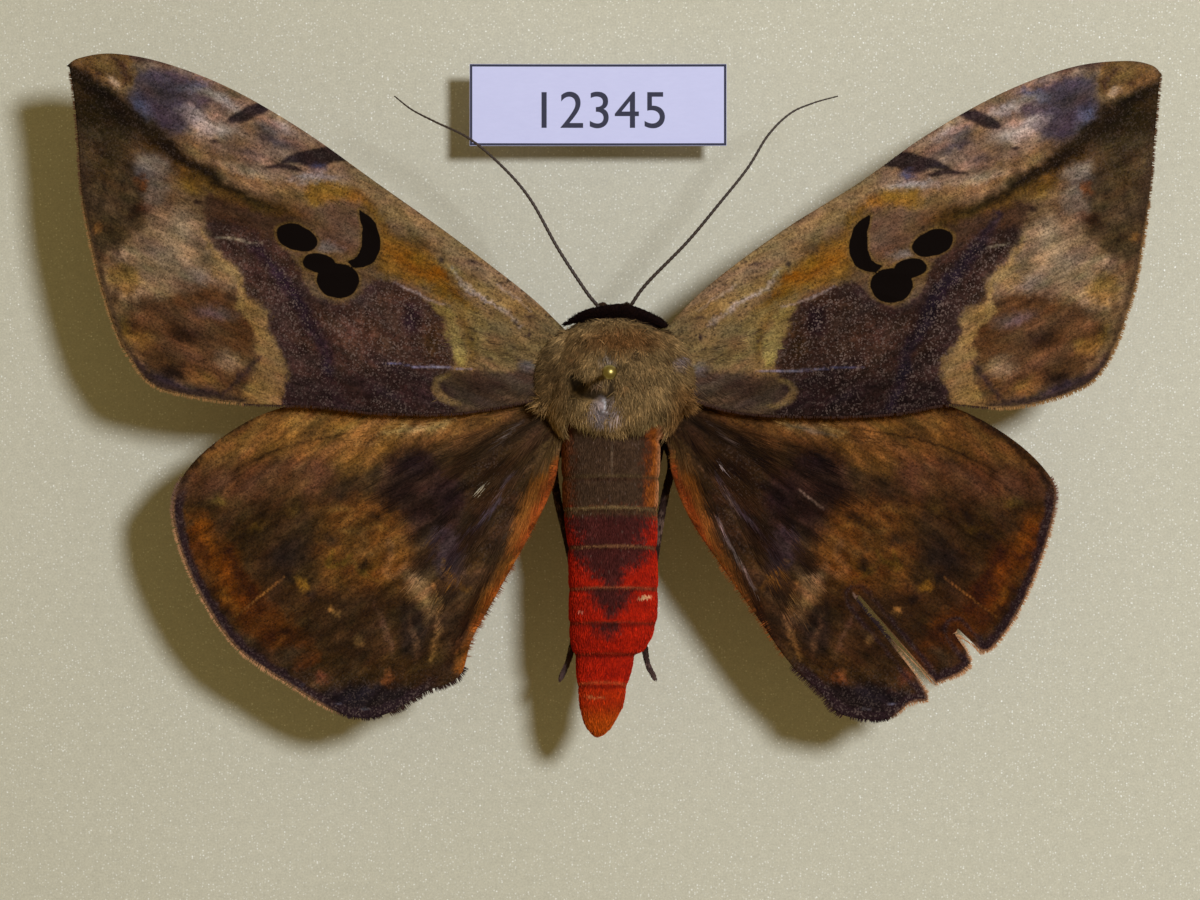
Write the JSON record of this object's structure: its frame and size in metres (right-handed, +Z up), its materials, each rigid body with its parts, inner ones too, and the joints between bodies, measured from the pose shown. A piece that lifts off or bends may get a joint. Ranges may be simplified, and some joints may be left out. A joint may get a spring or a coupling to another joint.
{
  "type": "pinned moth specimen",
  "caption": "Pinned, spread moth specimen (Hypopyra vespertilio) with patterned wings and red abdomen, on a foam pinning board with its small paper label.",
  "frame": {"origin": "centre of the pinning board's underside", "axes": "+Z up, +Y towards the moth's head, +X towards its right wings as seen from above"},
  "size_m": [0.1, 0.076, 0.0319],
  "materials": {
    "foam": "matte foam",
    "paper": "matte paper",
    "pin_metal": "polished",
    "thorax_fur": "hair-like scales",
    "collar_scales": "velvety scales",
    "head_scales": "velvety scales",
    "abdomen_scales": "velvety scales",
    "eye": "faceted, satin",
    "horn": "dark chitin with fine scales",
    "forewing_scales": "powdery scales",
    "hindwing_scales": "powdery scales"
  },
  "bodies": {
    "root": {"pinning_board": "foam", "label_block": "foam", "label_card": "paper", "insect_pin": "pin_metal", "thorax": "thorax_fur", "collar": "collar_scales", "head": "head_scales", "eye_left": "eye", "eye_right": "eye", "palp_left": "head_scales", "palp_right": "head_scales", "tongue": "horn", "antenna_left": "horn", "antenna_right": "horn", "abdomen": "abdomen_scales", "leg_fore_left": "horn", "leg_fore_right": "horn", "leg_middle_left": "horn", "leg_middle_right": "horn", "leg_hind_left": "horn", "leg_hind_right": "horn", "forewing_left": "forewing_scales", "forewing_right": "forewing_scales", "hindwing_left": "hindwing_scales", "hindwing_right": "hindwing_scales"}
  },
  "joints": []
}
